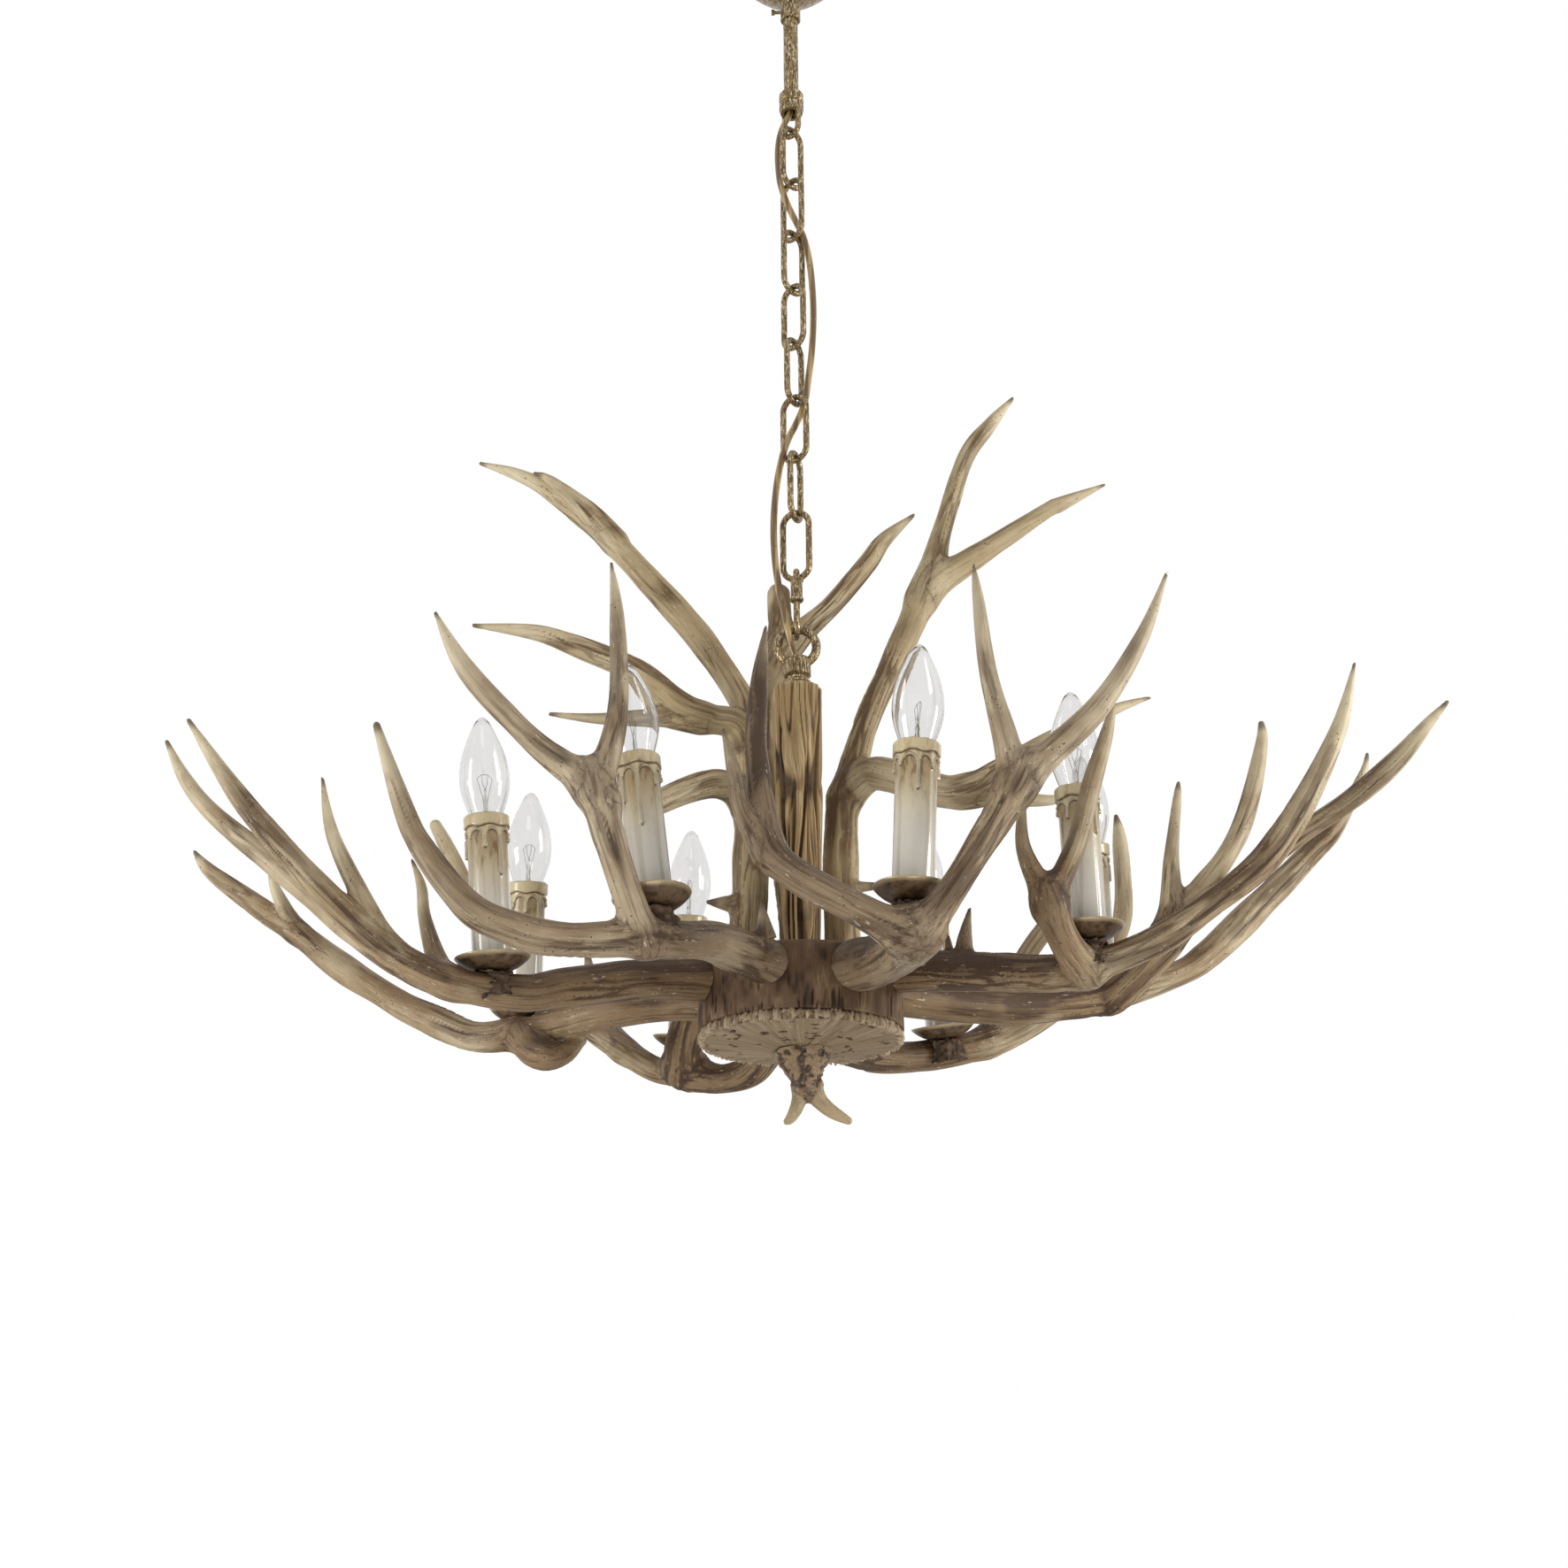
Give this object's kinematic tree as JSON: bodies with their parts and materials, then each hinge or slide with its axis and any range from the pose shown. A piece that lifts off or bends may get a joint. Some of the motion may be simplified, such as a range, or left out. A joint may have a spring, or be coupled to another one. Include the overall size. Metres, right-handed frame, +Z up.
{
  "type": "chandelier",
  "caption": "Chain-hung chandelier of forked antlers round a short column, with candle lamps in drip dishes, a hanging ring, a quick link and a ceiling canopy.",
  "frame": {"origin": "centre of the ceiling bracket's top face, in the ceiling plane, on the chandelier's axis", "axes": "+Z up into the ceiling; the pictured front faces -Y; +X to the right as seen from the front"},
  "size_m": [0.9766, 0.4834, 1.0475],
  "materials": {
    "brass": "antiqued, mottled brown, satin",
    "steel": "zinc plated",
    "hub_cast": "dark brown, grained like bark",
    "antler": "cast antler, grooved, stained brown with pale tips",
    "dish_bronze": "dark bronze, lighter at the rim",
    "candle_wax": "cream with antiqued drips",
    "socket_shell": "plain moulded",
    "bulb_glass": "clear",
    "cap_metal": "bright",
    "cord_jacket": "translucent amber"
  },
  "bodies": {
    "ceiling": {"ceiling_bracket": "steel", "threaded_nipple": "steel", "nipple_nut": "steel", "stem_tube": "brass", "stem_loop": "brass", "cord_in_stem": "cord_jacket", "feed_cord": "cord_jacket"},
    "canopy": {"canopy": "brass", "canopy_collar": "brass"},
    "collar_screw": {"collar_screw": "brass"},
    "link_1": {"chain_link_1": "brass"},
    "link_2": {"chain_link_2": "brass"},
    "link_3": {"chain_link_3": "brass"},
    "link_4": {"chain_link_4": "brass"},
    "link_5": {"chain_link_5": "brass"},
    "link_6": {"chain_link_6": "brass"},
    "link_7": {"chain_link_7": "brass"},
    "link_8": {"chain_link_8": "brass"},
    "quick_link": {"quick_link": "brass"},
    "quick_nut": {"quick_link_nut": "brass"},
    "fixture": {"hub_ring": "brass", "column": "hub_cast", "center_rod": "steel", "rod_nuts": "steel", "hub_drum": "hub_cast", "bottom_plate": "hub_cast", "finial": "antler", "antler_front_left": "antler", "antler_front_right": "antler", "antler_left_front": "antler", "antler_left_back": "antler", "antler_back_left": "antler", "antler_back_right": "antler", "antler_right_front": "antler", "antler_right_back": "antler", "crown_antler_left": "antler", "crown_antler_right": "antler", "crown_antler_back": "antler", "antler_bolts": "steel", "burr_bases": "antler", "lamp_sockets": "socket_shell", "drip_dishes": "dish_bronze", "candle_sleeves": "candle_wax", "cord_in_column": "cord_jacket"},
    "bulb_1": {"bulb_glass_1": "bulb_glass", "bulb_cap_1": "cap_metal"},
    "bulb_2": {"bulb_glass_2": "bulb_glass", "bulb_cap_2": "cap_metal"},
    "bulb_3": {"bulb_glass_3": "bulb_glass", "bulb_cap_3": "cap_metal"},
    "bulb_4": {"bulb_glass_4": "bulb_glass", "bulb_cap_4": "cap_metal"},
    "bulb_5": {"bulb_glass_5": "bulb_glass", "bulb_cap_5": "cap_metal"},
    "bulb_6": {"bulb_glass_6": "bulb_glass", "bulb_cap_6": "cap_metal"},
    "bulb_7": {"bulb_glass_7": "bulb_glass", "bulb_cap_7": "cap_metal"},
    "bulb_8": {"bulb_glass_8": "bulb_glass", "bulb_cap_8": "cap_metal"}
  },
  "joints": [
    {"name": "canopy_slide", "type": "slide", "parent": "ceiling", "child": "canopy", "axis": [0, 0, -1], "range_m": [0, 0.076]},
    {"name": "collar_screw_turn", "type": "hinge", "parent": "canopy", "child": "collar_screw", "pos_m": [-0.012, 0, -0.055], "axis": [-1, 0, 0], "range_deg": [0, 360]},
    {"name": "link_1_swing", "type": "hinge", "parent": "ceiling", "child": "link_1", "pos_m": [0, 0, -0.1885], "axis": [0.7071, -0.7071, 0], "range_deg": [-25, 25], "deforming": ["feed_cord"]},
    {"name": "link_2_swing", "type": "hinge", "parent": "link_1", "child": "link_2", "pos_m": [0, 0, -0.2418], "axis": [0.7071, 0.7071, 0], "range_deg": [-25, 25], "deforming": ["feed_cord"]},
    {"name": "link_3_swing", "type": "hinge", "parent": "link_2", "child": "link_3", "pos_m": [0, 0, -0.2951], "axis": [-0.7071, 0.7071, 0], "range_deg": [-25, 25], "deforming": ["feed_cord"]},
    {"name": "link_4_swing", "type": "hinge", "parent": "link_3", "child": "link_4", "pos_m": [0, 0, -0.3484], "axis": [-0.7071, -0.7071, 0], "range_deg": [-25, 25], "deforming": ["feed_cord"]},
    {"name": "link_5_swing", "type": "hinge", "parent": "link_4", "child": "link_5", "pos_m": [0, 0, -0.4017], "axis": [0.7314, -0.682, 0], "range_deg": [-25, 25], "deforming": ["feed_cord"]},
    {"name": "link_6_swing", "type": "hinge", "parent": "link_5", "child": "link_6", "pos_m": [0, 0, -0.455], "axis": [0.5446, 0.8387, 0], "range_deg": [-25, 25], "deforming": ["feed_cord"]},
    {"name": "link_7_swing", "type": "hinge", "parent": "link_6", "child": "link_7", "pos_m": [0, 0, -0.5083], "axis": [-0.8572, 0.515, 0], "range_deg": [-25, 25], "deforming": ["feed_cord"]},
    {"name": "link_8_swing", "type": "hinge", "parent": "link_7", "child": "link_8", "pos_m": [0, 0, -0.5616], "axis": [-0.3746, -0.9272, 0], "range_deg": [-25, 25], "deforming": ["feed_cord"]},
    {"name": "quick_link_swing", "type": "hinge", "parent": "link_8", "child": "quick_link", "pos_m": [0, 0, -0.6149], "axis": [0.9511, -0.309, 0], "range_deg": [-25, 25], "deforming": ["feed_cord"]},
    {"name": "quick_nut_travel", "type": "slide", "parent": "quick_link", "child": "quick_nut", "axis": [0, 0, -1], "range_m": [0, 0.0155]},
    {"name": "fixture_swing", "type": "hinge", "parent": "quick_link", "child": "fixture", "pos_m": [0, 0, -0.6653], "axis": [0, 1, 0], "range_deg": [-20, 20], "deforming": ["feed_cord"]},
    {"name": "bulb_1_turn", "type": "hinge", "parent": "fixture", "child": "bulb_1", "pos_m": [-0.21695, -0.11702, -0.8553], "axis": [-0.0765, -0.088, 0.9932], "range_deg": [0, 360]},
    {"name": "bulb_2_turn", "type": "hinge", "parent": "fixture", "child": "bulb_2", "pos_m": [-0.21242, 0.08016, -0.83837], "axis": [0.0199, -0.1769, 0.984], "range_deg": [0, 360]},
    {"name": "bulb_3_turn", "type": "hinge", "parent": "fixture", "child": "bulb_3", "pos_m": [-0.10887, -0.1811, -0.83866], "axis": [-0.1219, 0.0692, 0.9901], "range_deg": [0, 360]},
    {"name": "bulb_4_turn", "type": "hinge", "parent": "fixture", "child": "bulb_4", "pos_m": [-0.09106, 0.18059, -0.83535], "axis": [0.0347, -0.1735, 0.9842], "range_deg": [0, 360]},
    {"name": "bulb_5_turn", "type": "hinge", "parent": "fixture", "child": "bulb_5", "pos_m": [0.07616, -0.20446, -0.83968], "axis": [0.055, 0.0039, 0.9985], "range_deg": [0, 360]},
    {"name": "bulb_6_turn", "type": "hinge", "parent": "fixture", "child": "bulb_6", "pos_m": [0.10615, 0.17001, -0.83212], "axis": [-0.1111, -0.1789, 0.9776], "range_deg": [0, 360]},
    {"name": "bulb_7_turn", "type": "hinge", "parent": "fixture", "child": "bulb_7", "pos_m": [0.19244, -0.11552, -0.83757], "axis": [-0.0134, -0.0322, 0.9994], "range_deg": [0, 360]},
    {"name": "bulb_8_turn", "type": "hinge", "parent": "fixture", "child": "bulb_8", "pos_m": [0.23174, 0.0936, -0.80556], "axis": [-0.0359, -0.1833, 0.9824], "range_deg": [0, 360]}
  ]
}
